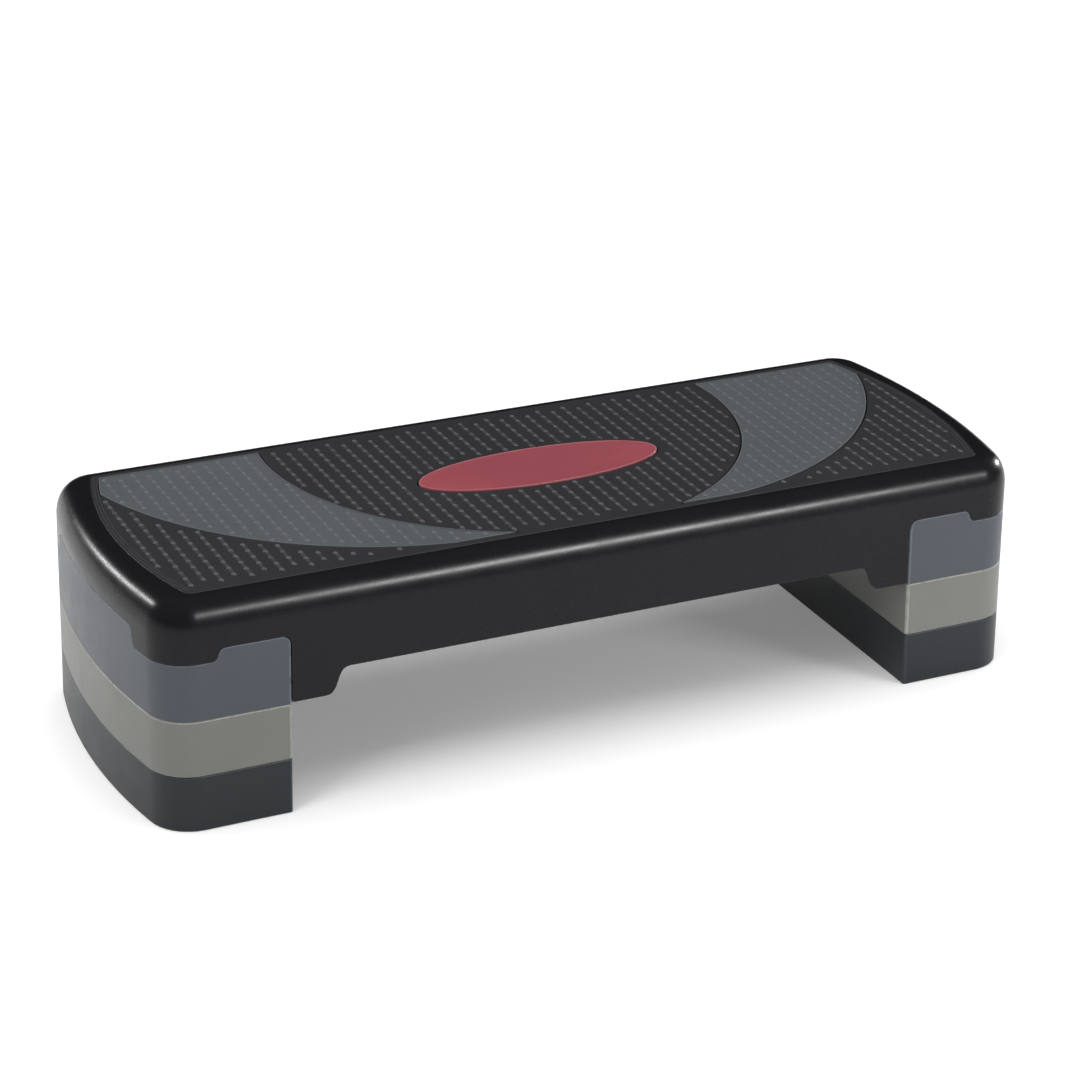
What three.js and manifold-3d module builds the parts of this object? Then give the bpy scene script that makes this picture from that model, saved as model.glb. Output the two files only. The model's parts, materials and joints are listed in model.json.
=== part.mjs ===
// Adjustable aerobic stepper: a ribbed platform on two end feet, raised by two pairs of stacking risers.
// Millimetres. X runs along the platform, Y across it, Z up; the origin is on the floor, mid-footprint.
import * as THREE from "three";
import { mergeVertices } from "three/addons/utils/BufferGeometryUtils.js";
import Module from "manifold-3d";

const wasm = await Module();
wasm.setup();

// ---- driving dimensions ----
const HALF_LENGTH = 422; // end apex, measured at the floor
const HALF_WIDTH = 157.3; // long side, measured at the floor
const END_RADIUS = 620; // plan radius of the bulging ends
const CORNER_RADIUS = 38; // plan radius between an end and a long side
const BLOCK_INNER = 295.2; // inner wall of an end stack, at the floor
const BLOCK_CORNER = 1.5; // a stack's two inner corners are cut back this much
const DRAFT = 0.0175; // one degree of mould draft: mm inwards for each mm upwards
const LEVEL = 50; // one riser adds this much height
const SEAM = 0.3; // gap between pieces that touch
const PAD_PROUD = 0.6; // how far a rubber pad stands out under its rim
const WALL = 3.2; // moulded wall
const RIB = 2.4; // stiffening ribs
const PLATE = 3; // horizontal webs
const EDGE_BREAK = 0.9; // chamfer along a moulded rim
const ARC_STEPS = 3; // each arc is drawn with twice this many chords
const INNER_ARC_STEPS = 2; // the same on hidden inner walls
const ROUND_STEPS = 6; // the same on small holes and posts
const OVAL_STEPS = 20; // the same on the badge
const CRESCENT_STEPS = 40; // the same on a crescent's full circles
const PAD_SIDES = 12;
const SCREW_SIDES = 12;
const FAR = 600; // longer than the object, for cutting blocks
const PAST = 1; // cutters and joined solids run this far past a face

// locating plateau on a riser, and the socket ring that drops over it
const PLATEAU_INSET = 22;
const PLATEAU_HEIGHT = 10;
const SOCKET_INSET = 18;
const SOCKET_GAP = 0.8;
const PLATEAU_CLEARANCE = 1.5; // free height over a plateau inside its socket
const RING_FOOT = 1; // ring and ribs stop this far above a rim's foot
const RIB_ROWS = [-72, 0, 72];
const RIB_COLUMN = 355;

// rubber pads
const PAD_RADIUS = 6;
const PAD_HEIGHT = 3.7;
const PAD_EDGE = 0.6;
const PAD_WELL = 7; // radius of the shallow well a pad stands in
const PAD_BOSS = 8; // radius of the post that carries a pad's socket
const PAD_PLACES = [[307, 145.5], [307, -145.5], [389.3, 137.3], [389.3, -137.3]];

// end feet
const FOOT_BASE = 2 * LEVEL;
const SHOULDER_Z = 151; // lower line of the foot's top edge
const SIDE_TAB_Z = 162; // raised tab on each long side
const SIDE_TAB_END = 355;
const SIDE_TAB_RADIUS = 9;
const END_TAB_Z = 169; // raised tab across the end
const END_TAB_HALF = 103;
const TAB_SLOPE = 6; // half the width of a tab's S-shaped side
const TAB_PULL = 2; // how far the S's control points pass its middle
const SIDE_TAB_DEPTH = 25; // how far a side tab's zone runs in from the long side
const END_TAB_START = 395;
const LIP_THICK = 2.6; // tongue inside the platform's skirt
const LIP_RISE = 7;
const LIP_GAP = 0.5; // between the tongue and the skirt around it
const LIP_ROOT_DROP = 2; // the tongue joins the foot's wall this far below its edge
const WEB_Z = 138; // underside of the foot's horizontal web

// platform
const DECK_RIM_Z = 203.7;
const RIM_WIDTH = 20; // the platform's upper edge is rounded over this width
const RIM_DROP = 28; // and this height
const RIM_STEPS = 3;
const SKIRT_BASE = 101.5;
const ARCH_Z = 125;
const ARCH_TOP_X = 244; // the arch's straight top ends here
const ARCH_FOOT_X = 265; // and its S-shaped side lands here
const ARCH_PULL = 13; // length of the S's control arms
const BULKHEAD_X = 290.6;
const CEILING_Z = 198.6;
const RIB_LOW_Z = 165;
const END_RIB_LOW_Z = 182;
const DECK_RIB_ROWS = [-78, 0, 78];
const DECK_RIB_PITCH = 96;
const DECK_RIB_COLUMNS = 3; // each way from the middle, within the bulkheads

// tread field set into the platform's top
const FIELD_HALF_LENGTH = 393;
const FIELD_HALF_WIDTH = 131;
const FIELD_END_RADIUS = 421;
const FIELD_CORNER = 6;
const FIELD_LEAST_CORNER = 1;
const FIELD_FLOOR_Z = 201.6;
const TREAD_LOW = FIELD_FLOOR_Z + SEAM; // underside of the mat and its inlays
const MAT_TOP_Z = 204.3;
const MAT_GAP = 0.4;
const CRESCENT_BORDER = 7;
const CRESCENT_OUTER = { x: 88.5, y: 172.5, radius: 300 };
const CRESCENT_INNER = { x: -15, y: 93.5, radius: 237 };
const BADGE_HALF_LENGTH = 115;
const BADGE_HALF_WIDTH = 39.5;
const BADGE_TOP_Z = 204.9;
const CRESCENT_TOP_Z = 204.8;

// screws that hold a foot to the platform
const SCREW_PLACES = [[330, 60], [330, -60], [380, 60], [380, -60]];
const SCREW_HEAD_RADIUS = 4.2;
const SCREW_CROWN_RADIUS = 3;
const SCREW_HEAD_HEIGHT = 3.1;
const SCREW_RADIUS = 1.9;
const SCREW_LENGTH = 18;
const SCREW_POINT = 3;
const SCREW_POST = 5.5;
const SCREW_BORE_TOP = 160;

const PLASTIC = { roughness: 0.45, metalness: 0 };
const LOOKS = {
  deck: { color: 0x2b2b30, ...PLASTIC },
  tread: { color: 0x3b3b40, roughness: 0.75, metalness: 0 },
  crescent: { color: 0x5d6166, roughness: 0.7, metalness: 0 },
  badge: { color: 0x9a3a4a, roughness: 0.4, metalness: 0 },
  foot: { color: 0x5b6370, ...PLASTIC },
  upper: { color: 0x8a8b82, ...PLASTIC },
  lower: { color: 0x45484f, ...PLASTIC },
  rubber: { color: 0x1b1b1c, roughness: 0.9, metalness: 0 },
  steel: { color: 0x8c9094, roughness: 0.35, metalness: 1 },
};

// ---- solids ----
function toSolid(geometry) {
  const bare = geometry.clone();
  bare.deleteAttribute("normal");
  bare.deleteAttribute("uv");
  const merged = mergeVertices(bare, 1e-4);
  const vertProperties = new Float32Array(merged.attributes.position.array);
  const triVerts = new Uint32Array(merged.index.array);
  return new wasm.Manifold(new wasm.Mesh({ numProp: 3, vertProperties, triVerts }));
}

function toGeometry(solid) {
  const mesh = solid.getMesh();
  const geometry = new THREE.BufferGeometry();
  geometry.setAttribute("position", new THREE.BufferAttribute(new Float32Array(mesh.vertProperties), 3));
  geometry.setIndex(new THREE.BufferAttribute(new Uint32Array(mesh.triVerts), 1));
  geometry.computeVertexNormals();
  return geometry;
}

// An extruded outline; both rims can be broken over a width (`edge`) and a height (`drop`).
function prism(shape, bottom, top, { edge = 0, drop = edge, edgeSteps = 1, curveSegments = ARC_STEPS } = {}) {
  const geometry = new THREE.ExtrudeGeometry(shape, {
    depth: top - bottom - 2 * drop,
    curveSegments,
    bevelEnabled: edge > 0,
    bevelThickness: drop,
    bevelSize: edge,
    bevelOffset: -edge,
    bevelSegments: edgeSteps,
  });
  geometry.translate(0, 0, bottom + drop);
  return toSolid(geometry);
}

function block(x0, x1, y0, y1, z0, z1) {
  const geometry = new THREE.BoxGeometry(x1 - x0, y1 - y0, z1 - z0);
  geometry.translate((x0 + x1) / 2, (y0 + y1) / 2, (z0 + z1) / 2);
  return toSolid(geometry);
}

function rod(x, y, radius, bottom, top) {
  const circle = new THREE.Shape();
  circle.absarc(x, y, radius, 0, 2 * Math.PI);
  return prism(circle, bottom, top, { curveSegments: ROUND_STEPS });
}

// A prism on a hidden inner outline, with coarser arcs.
const core = (shape, bottom, top) => prism(shape, bottom, top, { curveSegments: INNER_ARC_STEPS });
const join = (solids) => solids.reduce((sum, solid) => sum.add(solid));
const above = (solid, z) => solid.subtract(block(-FAR, FAR, -FAR, FAR, -FAR, z));

// ---- plan outlines ----
// Where the bulging end arc of an outline hands over to its corner arc.
function endArc(halfLength, halfWidth, endRadius, cornerRadius) {
  const cornerY = halfWidth - cornerRadius;
  const reach = endRadius - cornerRadius;
  const centreX = halfLength - endRadius;
  const cornerX = centreX + Math.sqrt(reach ** 2 - cornerY ** 2);
  return { centreX, cornerX, cornerY, angle: Math.asin(cornerY / reach) };
}

// Closed outline with two bulging ends and straight long sides.
function loaf(halfLength, halfWidth, endRadius, cornerRadius) {
  const { centreX, cornerX, cornerY, angle } = endArc(halfLength, halfWidth, endRadius, cornerRadius);
  const shape = new THREE.Shape();
  const quarter = Math.PI / 2;
  shape.absarc(centreX, 0, endRadius, -angle, angle);
  shape.absarc(cornerX, cornerY, cornerRadius, angle, quarter);
  shape.absarc(-cornerX, cornerY, cornerRadius, quarter, Math.PI - angle);
  shape.absarc(-centreX, 0, endRadius, Math.PI - angle, Math.PI + angle);
  shape.absarc(-cornerX, -cornerY, cornerRadius, Math.PI + angle, 3 * quarter);
  shape.absarc(cornerX, -cornerY, cornerRadius, 3 * quarter, 2 * Math.PI - angle);
  return shape;
}

function deckOutline(inset) {
  const corner = CORNER_RADIUS - inset;
  return loaf(HALF_LENGTH - inset, HALF_WIDTH - inset, END_RADIUS - inset, corner);
}

function fieldOutline(inset) {
  const corner = Math.max(FIELD_CORNER - inset, FIELD_LEAST_CORNER);
  return loaf(FIELD_HALF_LENGTH - inset, FIELD_HALF_WIDTH - inset, FIELD_END_RADIUS - inset, corner);
}

// Outline of the right-hand end stack: a straight inner wall and the loaf's bulging end.
function blockOutline(inset) {
  const halfWidth = HALF_WIDTH - inset;
  const corner = CORNER_RADIUS - inset;
  const bulge = END_RADIUS - inset;
  const { centreX, cornerX, cornerY, angle } = endArc(HALF_LENGTH - inset, halfWidth, bulge, corner);
  const inner = BLOCK_INNER + inset;
  const quarter = Math.PI / 2;
  const shape = new THREE.Shape();
  shape.absarc(centreX, 0, bulge, -angle, angle);
  shape.absarc(cornerX, cornerY, corner, angle, quarter);
  shape.lineTo(inner + BLOCK_CORNER, halfWidth);
  shape.lineTo(inner, halfWidth - BLOCK_CORNER);
  shape.lineTo(inner, BLOCK_CORNER - halfWidth);
  shape.lineTo(inner + BLOCK_CORNER, -halfWidth);
  shape.absarc(cornerX, -cornerY, corner, 3 * quarter, 4 * quarter - angle);
  return shape;
}

function ovalOutline(grow) {
  const shape = new THREE.Shape();
  shape.absellipse(0, 0, BADGE_HALF_LENGTH + grow, BADGE_HALF_WIDTH + grow, 0, 2 * Math.PI);
  return shape;
}

// ---- mould draft ----
// Walls lean in as they rise: the end stacks narrow about their own middle, and the sides close in.
function leanX(x, z) {
  const size = Math.abs(x);
  const middle = (BLOCK_INNER + HALF_LENGTH) / 2;
  const share = size < BLOCK_INNER ? -size / BLOCK_INNER : (size - middle) / (HALF_LENGTH - middle);
  return x - Math.sign(x) * DRAFT * z * share;
}

const leanY = (y, z) => y * (1 - (DRAFT * z) / HALF_WIDTH);

function leaned(solid) {
  const geometry = toGeometry(solid);
  const position = geometry.attributes.position;
  for (let i = 0; i < position.count; i += 1) {
    const z = position.getZ(i);
    position.setXY(i, leanX(position.getX(i), z), leanY(position.getY(i), z));
  }
  return toSolid(geometry);
}

// ---- structure shared by risers and feet ----
// Socket ring, cross ribs and pad bosses that hang from a horizontal web at `ceiling`.
function underStructure(base, ceiling) {
  const low = base + PAD_PROUD + RING_FOOT;
  const socket = blockOutline(PLATEAU_INSET - SOCKET_GAP);
  const ring = core(blockOutline(SOCKET_INSET), low, ceiling)
    .subtract(core(socket, low - PAST, ceiling + PAST));
  const rows = RIB_ROWS.map((y) => block(BLOCK_INNER, HALF_LENGTH, y - RIB / 2, y + RIB / 2, low, ceiling));
  const column = block(RIB_COLUMN - RIB / 2, RIB_COLUMN + RIB / 2, -HALF_WIDTH, HALF_WIDTH, low, ceiling);
  const plateauRoom = core(socket, base - PAST, base + PLATEAU_HEIGHT + PLATEAU_CLEARANCE);
  return join([ring, column, ...rows])
    .intersect(core(blockOutline(WALL / 2), low, ceiling))
    .subtract(plateauRoom);
}

const padBosses = (base, ceiling) =>
  join(PAD_PLACES.map(([x, y]) => rod(x, y, PAD_BOSS, base + PAD_PROUD + RING_FOOT, ceiling)));
const padSockets = (base) =>
  join(PAD_PLACES.map(([x, y]) => rod(x, y, PAD_RADIUS + SEAM, base - PAST, base + PAD_HEIGHT + SEAM)));
const padWells = (top) =>
  join(PAD_PLACES.map(([x, y]) => rod(x, y, PAD_WELL, top - PAD_PROUD, top + PAST)));

// ---- pieces ----
function riser(base) {
  const top = base + LEVEL + SEAM;
  const ceiling = top - PLATE;
  const plateauTop = top + PLATEAU_HEIGHT;
  const shell = prism(blockOutline(0), base + PAD_PROUD, top, { edge: EDGE_BREAK })
    .add(core(blockOutline(PLATEAU_INSET), ceiling, plateauTop))
    .subtract(core(blockOutline(WALL), base - PAST, ceiling))
    .subtract(core(blockOutline(PLATEAU_INSET + WALL), ceiling - PAST, plateauTop - PLATE));
  const ribs = underStructure(base, ceiling + PAST)
    .subtract(core(blockOutline(PLATEAU_INSET + WALL), ceiling, top));
  return leaned(shell.add(ribs))
    .add(padBosses(base, ceiling + PAST))
    .subtract(padSockets(base))
    .subtract(padWells(top));
}

// Side view of a tab: a vertical side at `start`, a flat top, and an S-shaped fall at `end`.
function sideTab(start, end, top) {
  const shape = new THREE.Shape();
  const radius = SIDE_TAB_RADIUS;
  shape.moveTo(start, 0);
  shape.lineTo(start, top - radius);
  shape.absarc(start + radius, top - radius, radius, Math.PI, Math.PI / 2, true);
  shape.lineTo(end - TAB_SLOPE, top);
  shape.bezierCurveTo(end + TAB_PULL, top, end - TAB_PULL, SHOULDER_Z, end + TAB_SLOPE, SHOULDER_Z);
  shape.lineTo(end + TAB_SLOPE, 0);
  return shape;
}

// End view of the raised tab, symmetrical about the middle.
function endTab(half, top) {
  const shape = new THREE.Shape();
  shape.moveTo(-half - TAB_SLOPE, 0);
  shape.lineTo(-half - TAB_SLOPE, SHOULDER_Z);
  shape.bezierCurveTo(-half + TAB_PULL, SHOULDER_Z, -half - TAB_PULL, top, -half + TAB_SLOPE, top);
  shape.lineTo(half - TAB_SLOPE, top);
  shape.bezierCurveTo(half + TAB_PULL, top, half - TAB_PULL, SHOULDER_Z, half + TAB_SLOPE, SHOULDER_Z);
  shape.lineTo(half + TAB_SLOPE, 0);
  return shape;
}

const stretched = (shape, depth) =>
  new THREE.ExtrudeGeometry(shape, { depth, bevelEnabled: false, curveSegments: ROUND_STEPS });

// A side profile (x, z) stretched across the object.
function acrossY(shape, y0, y1) {
  const geometry = stretched(shape, y1 - y0);
  geometry.rotateX(Math.PI / 2);
  geometry.translate(0, y1, 0);
  return toSolid(geometry);
}

// An end profile (y, z) stretched along the object.
function acrossX(shape, x0, x1) {
  const geometry = stretched(shape, x1 - x0);
  geometry.rotateX(Math.PI / 2);
  geometry.rotateZ(Math.PI / 2);
  geometry.translate(x0, 0, 0);
  return toSolid(geometry);
}

// All of the end block that belongs to the foot: up to its shoulder, and higher at its three tabs.
function footZone(grow) {
  const start = BLOCK_INNER - grow;
  const base = block(start, FAR, -FAR, FAR, 0, SHOULDER_Z + grow);
  const profile = sideTab(start, SIDE_TAB_END + grow, SIDE_TAB_Z + grow);
  const tabY = HALF_WIDTH - SIDE_TAB_DEPTH;
  const tabs = [
    acrossY(profile, tabY, FAR),
    acrossY(profile, -FAR, -tabY),
    acrossX(endTab(END_TAB_HALF + grow, END_TAB_Z + grow), END_TAB_START, FAR),
  ];
  return join([base, ...tabs]);
}

// Tongue that stands up inside the platform's skirt, with its root joined to the foot's wall.
function footLip(high) {
  const outer = WALL + LIP_GAP;
  const hollow = core(blockOutline(outer + LIP_THICK), WEB_Z - PAST, high + PAST);
  const innerSide = block(-FAR, BLOCK_INNER + 2 * WALL, -FAR, FAR, SHOULDER_Z, FAR);
  const tongue = prism(blockOutline(outer), WEB_Z, high)
    .intersect(footZone(LIP_RISE))
    .subtract(innerSide);
  const root = core(blockOutline(WALL / 2), WEB_Z, high).intersect(footZone(-LIP_ROOT_DROP));
  return tongue.add(root).subtract(hollow);
}

function screwRods(radius, bottom, top) {
  return join(SCREW_PLACES.map(([x, y]) => rod(x, y, radius, bottom, top)));
}

function endFoot() {
  const high = END_TAB_Z + LIP_RISE + PAST;
  const shell = prism(blockOutline(0), FOOT_BASE + PAD_PROUD, high + PAST, { edge: EDGE_BREAK })
    .subtract(prism(blockOutline(WALL), FOOT_BASE - PAST, high + 2 * PAST))
    .intersect(footZone(0));
  const web = core(blockOutline(WALL / 2), WEB_Z, WEB_Z + PLATE);
  return leaned(join([shell, footLip(high), web, underStructure(FOOT_BASE, WEB_Z + PAST)]))
    .add(padBosses(FOOT_BASE, WEB_Z + PAST))
    .subtract(padSockets(FOOT_BASE))
    .subtract(screwRods(SCREW_RADIUS + SEAM, WEB_Z - PAST, WEB_Z + PLATE + PAST));
}

// Side view of the opening under the platform.
function archProfile() {
  const shape = new THREE.Shape();
  const footArm = ARCH_FOOT_X - ARCH_PULL;
  const topArm = ARCH_TOP_X + ARCH_PULL;
  shape.moveTo(-ARCH_FOOT_X, 0);
  shape.lineTo(-ARCH_FOOT_X, SKIRT_BASE);
  shape.bezierCurveTo(-footArm, SKIRT_BASE, -topArm, ARCH_Z, -ARCH_TOP_X, ARCH_Z);
  shape.lineTo(ARCH_TOP_X, ARCH_Z);
  shape.bezierCurveTo(topArm, ARCH_Z, footArm, SKIRT_BASE, ARCH_FOOT_X, SKIRT_BASE);
  shape.lineTo(ARCH_FOOT_X, 0);
  return shape;
}

const ribAlongX = (y, reach, low) => block(-reach, reach, y - RIB / 2, y + RIB / 2, low, FAR);
const ribAcross = (x, thick, low) => block(x - thick / 2, x + thick / 2, -FAR, FAR, low, FAR);

function deckRibs() {
  const ribs = [];
  for (const y of DECK_RIB_ROWS) {
    ribs.push(ribAlongX(y, BULKHEAD_X, RIB_LOW_Z));
    ribs.push(ribAlongX(y, FAR, END_RIB_LOW_Z));
  }
  for (let i = 1 - DECK_RIB_COLUMNS; i < DECK_RIB_COLUMNS; i += 1) {
    ribs.push(ribAcross(i * DECK_RIB_PITCH, RIB, RIB_LOW_Z));
  }
  for (const side of [-1, 1]) {
    ribs.push(ribAcross(side * (BULKHEAD_X + WALL / 2), WALL, SKIRT_BASE));
  }
  return join(ribs).intersect(above(roundedLoaf(WALL / 2, CEILING_Z + PAST), SKIRT_BASE));
}

function onBothEnds(solid) {
  const geometry = toGeometry(solid);
  geometry.rotateZ(Math.PI);
  return solid.add(toSolid(geometry));
}

// The platform's outer form at an inset, with a rounded upper edge; it runs down past the skirt.
function roundedLoaf(inset, top) {
  const rim = { edge: RIM_WIDTH - inset, drop: RIM_DROP - inset, edgeSteps: RIM_STEPS };
  return prism(deckOutline(inset), 0, top, rim);
}

function deckShell() {
  const shell = above(roundedLoaf(0, DECK_RIM_Z).subtract(roundedLoaf(WALL, CEILING_Z)), SKIRT_BASE)
    .add(deckRibs())
    .subtract(onBothEnds(footZone(SEAM)))
    .subtract(acrossY(archProfile(), -FAR, FAR));
  return leaned(shell)
    .subtract(prism(fieldOutline(-SEAM), FIELD_FLOOR_Z, DECK_RIM_Z + PAST))
    .add(onBothEnds(screwRods(SCREW_POST, WEB_Z + PLATE + SEAM, CEILING_Z + PAST)))
    .subtract(onBothEnds(screwRods(SCREW_RADIUS + SEAM, WEB_Z, SCREW_BORE_TOP)));
}

function circleShape({ x, y, radius }, side, grow) {
  const shape = new THREE.Shape();
  shape.absarc(side * x, y, radius + grow, 0, 2 * Math.PI);
  return shape;
}

// Region of one grey crescent, between two circles and inside the tread field's border.
function crescent(side, grow, bottom, top) {
  const disc = (circle, more, low, high) =>
    prism(circleShape(circle, side, more), low, high, { curveSegments: CRESCENT_STEPS });
  return disc(CRESCENT_OUTER, grow, bottom, top)
    .subtract(disc(CRESCENT_INNER, -grow, bottom - PAST, top + PAST))
    .intersect(prism(fieldOutline(CRESCENT_BORDER - grow), bottom, top))
    .subtract(block(side > 0 ? -FAR : 0, side > 0 ? 0 : FAR, -FAR, FAR, bottom - PAST, top + PAST));
}

function oval(grow, bottom, top, edge = 0) {
  return prism(ovalOutline(grow), bottom, top, { edge, curveSegments: OVAL_STEPS });
}

function treadMat() {
  const low = TREAD_LOW - PAST;
  const high = MAT_TOP_Z + PAST;
  return prism(fieldOutline(0), TREAD_LOW, MAT_TOP_Z)
    .subtract(oval(MAT_GAP, low, high))
    .subtract(crescent(-1, MAT_GAP, low, high))
    .subtract(crescent(1, MAT_GAP, low, high));
}

const crescentInsert = (side) => crescent(side, 0, TREAD_LOW, CRESCENT_TOP_Z);
const ovalBadge = () => oval(0, TREAD_LOW, BADGE_TOP_Z, EDGE_BREAK / 2);

function lathe(profile, sides) {
  const points = profile.map(([radius, z]) => new THREE.Vector2(radius, z));
  const geometry = new THREE.LatheGeometry(points, sides);
  geometry.rotateX(Math.PI / 2);
  return toSolid(geometry);
}

function rubberPad() {
  return lathe([
    [0, 0],
    [PAD_RADIUS - PAD_EDGE, 0],
    [PAD_RADIUS, PAD_EDGE],
    [PAD_RADIUS, PAD_HEIGHT],
    [0, PAD_HEIGHT],
  ], PAD_SIDES);
}

// A pan-head screw, head down and point up.
function screw() {
  const tip = SCREW_HEAD_HEIGHT + SCREW_LENGTH;
  return lathe([
    [0, 0],
    [SCREW_CROWN_RADIUS, 0],
    [SCREW_HEAD_RADIUS, SCREW_HEAD_HEIGHT / 2],
    [SCREW_HEAD_RADIUS, SCREW_HEAD_HEIGHT],
    [SCREW_RADIUS, SCREW_HEAD_HEIGHT],
    [SCREW_RADIUS, tip - SCREW_POINT],
    [0, tip],
  ], SCREW_SIDES);
}

// ---- assembly ----
const stepper = new THREE.Group();

function place(name, solid, look, turn = 0, position = [0, 0, 0]) {
  const mesh = new THREE.Mesh(toGeometry(solid), new THREE.MeshStandardMaterial(LOOKS[look]));
  mesh.name = name;
  mesh.rotation.z = turn;
  mesh.position.set(...position);
  stepper.add(mesh);
}

const SIDES = [{ name: "right", turn: 0, sign: 1 }, { name: "left", turn: Math.PI, sign: -1 }];

// Copies of a small part at each of one end's places, numbered from 1.
function placeSet(name, side, places, makeSolid, look, z) {
  places.forEach(([x, y], i) => {
    const position = [side.sign * x, side.sign * y, z];
    place(`${name}_${side.name}_${i + 1}`, makeSolid(), look, 0, position);
  });
}

place("deck_shell", deckShell(), "deck");
place("tread_mat", treadMat(), "tread");
place("badge_oval", ovalBadge(), "badge");
for (const side of SIDES) {
  place(`tread_crescent_${side.name}`, crescentInsert(side.sign), "crescent");
  place(`end_foot_${side.name}`, endFoot(), "foot", side.turn);
  place(`riser_upper_${side.name}`, riser(LEVEL), "upper", side.turn);
  place(`riser_lower_${side.name}`, riser(0), "lower", side.turn);
  placeSet("pad_foot", side, PAD_PLACES, rubberPad, "rubber", FOOT_BASE);
  placeSet("pad_upper", side, PAD_PLACES, rubberPad, "rubber", LEVEL);
  placeSet("pad_lower", side, PAD_PLACES, rubberPad, "rubber", 0);
  placeSet("foot_screw", side, SCREW_PLACES, screw, "steel", WEB_Z - SEAM - SCREW_HEAD_HEIGHT);
}

export default stepper;
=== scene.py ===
import json
import math

import bmesh
import bpy
from mathutils import Matrix, Vector


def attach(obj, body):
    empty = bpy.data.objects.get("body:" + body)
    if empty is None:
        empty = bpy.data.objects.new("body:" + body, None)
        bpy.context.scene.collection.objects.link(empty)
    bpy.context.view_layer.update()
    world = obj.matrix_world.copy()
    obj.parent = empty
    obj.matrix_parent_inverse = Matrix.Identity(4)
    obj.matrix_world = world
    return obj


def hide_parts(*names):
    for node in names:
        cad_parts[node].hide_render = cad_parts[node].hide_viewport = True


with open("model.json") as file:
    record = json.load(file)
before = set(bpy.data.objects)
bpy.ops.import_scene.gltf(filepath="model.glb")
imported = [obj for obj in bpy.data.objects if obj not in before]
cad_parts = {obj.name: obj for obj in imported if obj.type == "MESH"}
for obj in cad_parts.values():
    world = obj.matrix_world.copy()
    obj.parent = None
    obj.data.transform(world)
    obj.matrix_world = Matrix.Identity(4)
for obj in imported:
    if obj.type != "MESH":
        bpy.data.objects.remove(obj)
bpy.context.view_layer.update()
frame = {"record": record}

# ---- driving dimensions, in millimetres ----
# They are the CAD model's, apart from the tops of the mat and crescents, which leave room for their beads.
MM = 0.001
HALF_LENGTH = 422
HALF_WIDTH = 157.3
END_RADIUS = 620
CORNER_RADIUS = 38
BLOCK_INNER = 295.2
BLOCK_CORNER = 1.5
DRAFT = 0.0175
LEVEL = 50
SEAM = 0.3
PAD_PROUD = 0.6
WALL = 3.2
RIB = 2.4
PLATE = 3
FAR = 600  # longer than the object, for cutting blocks
PAST = 1  # cutters and joined solids run this far past a face
SHORT_PAST = 0.5

PLATEAU_INSET = 22
PLATEAU_HEIGHT = 10
PLATEAU_CLEARANCE = 1.5
PLATEAU_EDGE = 2.5
SOCKET_INSET = 18
SOCKET_GAP = 0.8
RING_FOOT = 1
RIB_ROWS = (-72, 0, 72)
RIB_COLUMN = 355

FOOT_BASE = 2 * LEVEL
SHOULDER_Z = 151
SIDE_TAB_Z = 162
SIDE_TAB_END = 355
SIDE_TAB_RADIUS = 9
SIDE_TAB_DEPTH = 25
END_TAB_Z = 169
END_TAB_HALF = 103
END_TAB_START = 395
TAB_SLOPE = 6
TAB_PULL = 2
TAB_STEPS = 12
LIP_THICK = 2.6
LIP_RISE = 7
LIP_GAP = 0.5
WEB_Z = 138

DECK_RIM_Z = 203.7
RIM_WIDTH = 20
RIM_DROP = 28
RIM_STEPS = 12
SKIRT_BASE = 101.5
HOLLOW_PAST = 5  # the hollow's cutter runs this far below the skirt
ARCH_Z = 125
ARCH_TOP_X = 244
ARCH_FOOT_X = 265
ARCH_PULL = 13
BULKHEAD_X = 290.6
CEILING_Z = 198.6
RIB_LOW_Z = 165
END_RIB_LOW_Z = 182
DECK_RIB_ROWS = (-78, 0, 78)
DECK_RIB_COLUMNS = (-192, -96, 0, 96, 192)

FIELD_HALF_LENGTH = 393
FIELD_HALF_WIDTH = 131
FIELD_END_RADIUS = 421
FIELD_CORNER = 6
FIELD_LEAST_CORNER = 1
FIELD_FLOOR_Z = 201.6
TREAD_LOW = FIELD_FLOOR_Z + SEAM
MAT_TOP_Z = 203.9
CRESCENT_BORDER = 7
CRESCENT_OUTER = (88.5, 172.5, 300)
CRESCENT_INNER = (-15, 93.5, 237)
BADGE_HALF_LENGTH = 115
BADGE_HALF_WIDTH = 39.5
BADGE_TOP_Z = 204.9
CRESCENT_TOP_Z = 204.1

SCREW_PLACES = ((330, 60), (330, -60), (380, 60), (380, -60))
SCREW_POST = 5.5
SCREW_HOLE = 2.2
SCREW_BORE_TOP = 160
SCREW_HEAD_HEIGHT = 3.1
SCREW_SIDES = 24
SCREW_PROFILE = (  # radius, and height from the crown of the head
    (2.2, 0), (3.3, 0.25), (4.0, 1.0), (4.2, 1.9), (4.2, SCREW_HEAD_HEIGHT),
    (1.9, SCREW_HEAD_HEIGHT), (1.9, 18.1), (0.3, 21.0))
CROSS_LONG = 2.2  # half the length of the head's cross recess
CROSS_SHORT = 0.45  # and half its width
CROSS_DEPTH = 1.4
PAD_PLACES = ((307, 145.5), (307, -145.5), (389.3, 137.3), (389.3, -137.3))
PAD_BOSS = 8
PAD_SOCKET = 6.3
PAD_WELL = 7
PAD_HEIGHT = 3.7
PAD_RADIUS = 6
PAD_PROFILE = ((PAD_RADIUS - 0.9, 0), (PAD_RADIUS - 0.35, 0.12), (PAD_RADIUS, 0.6), (PAD_RADIUS, PAD_HEIGHT))
PAD_SIDES = 32

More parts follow.
